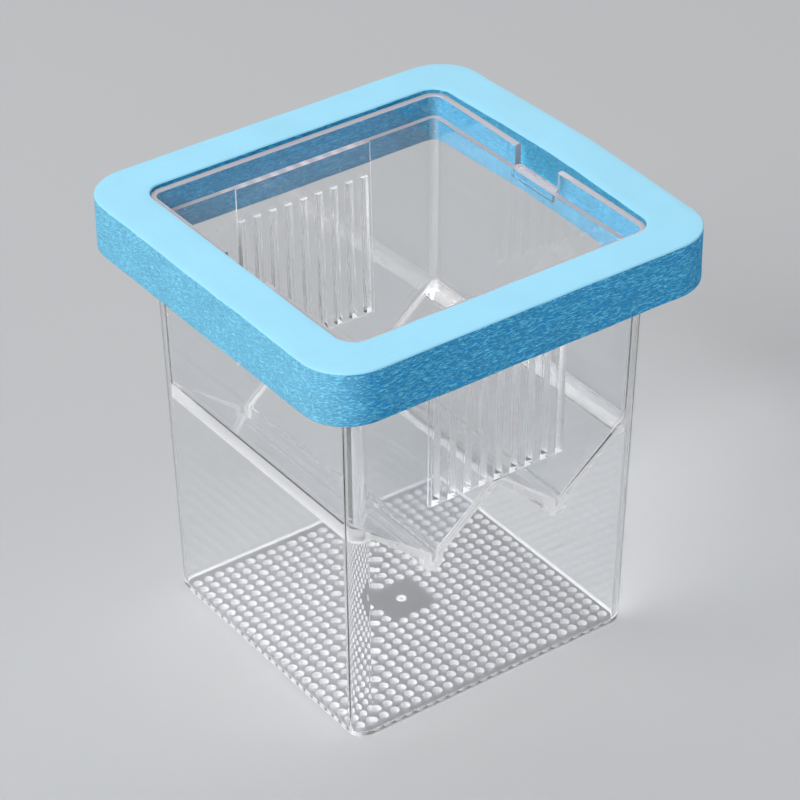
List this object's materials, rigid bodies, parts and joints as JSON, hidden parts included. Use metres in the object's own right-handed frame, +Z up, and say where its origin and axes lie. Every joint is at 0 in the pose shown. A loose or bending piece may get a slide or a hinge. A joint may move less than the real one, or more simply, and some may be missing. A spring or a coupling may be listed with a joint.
{
  "type": "fish breeding box",
  "caption": "Floating fish breeding box: clear outer box with a perforated floor, hanging clear insert with slotted walls and a W-shaped floor, and a foam float ring around the rim.",
  "frame": {"origin": "middle of the outer box's base, on the surface it stands on", "axes": "+Z up out of the box; X across the notched walls, from which the insert hangs; Y across the slotted walls"},
  "size_m": [0.115, 0.111, 0.1204],
  "materials": {
    "clear_plastic": "clear, polished",
    "blue_foam": "smooth closed-cell foam, fine grain on the cut sides"
  },
  "bodies": {
    "outer_box": {"outer_box_walls": "clear_plastic", "outer_box_floor": "clear_plastic"},
    "insert": {"insert_walls": "clear_plastic", "insert_floor": "clear_plastic"},
    "float_ring": {"float_ring": "blue_foam"}
  },
  "joints": [
    {"name": "insert_lift", "type": "slide", "parent": "outer_box", "child": "insert", "axis": [0, 0, 1], "range_m": [0, 0.08]},
    {"name": "ring_slide", "type": "slide", "parent": "outer_box", "child": "float_ring", "axis": [0, 0, 1], "range_m": [-0.04, 0.02]}
  ]
}
